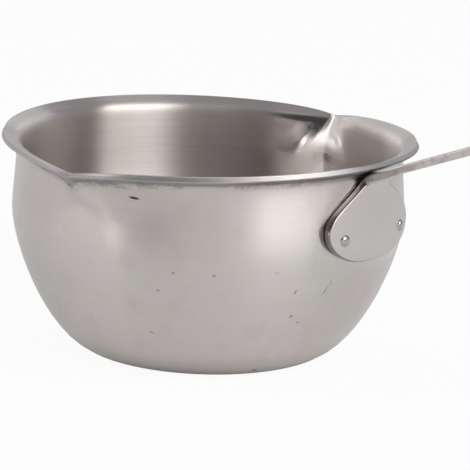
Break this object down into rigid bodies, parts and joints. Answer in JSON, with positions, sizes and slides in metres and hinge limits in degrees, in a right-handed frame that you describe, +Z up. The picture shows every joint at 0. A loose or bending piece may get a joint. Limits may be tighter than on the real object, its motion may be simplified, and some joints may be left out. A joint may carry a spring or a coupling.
{
  "type": "butter warmer",
  "caption": "Small rounded steel pan with a rolled-out lip, creased pouring spouts and a riveted strap handle with a hanging slot, for melting butter.",
  "frame": {"origin": "centre of the flat underside that the pan stands on", "axes": "+X along the handle, +Y and -Y through the two pouring spouts, +Z up"},
  "size_m": [0.2607, 0.1248, 0.1155],
  "materials": {
    "bowl_steel": "satin, fine lines round the bowl",
    "handle_steel": "satin, fine lines along the bar",
    "rivet_steel": "smooth, nearly polished"
  },
  "bodies": {
    "root": {"bowl": "bowl_steel", "handle": "handle_steel", "rivet_left": "rivet_steel", "rivet_right": "rivet_steel"}
  },
  "joints": []
}
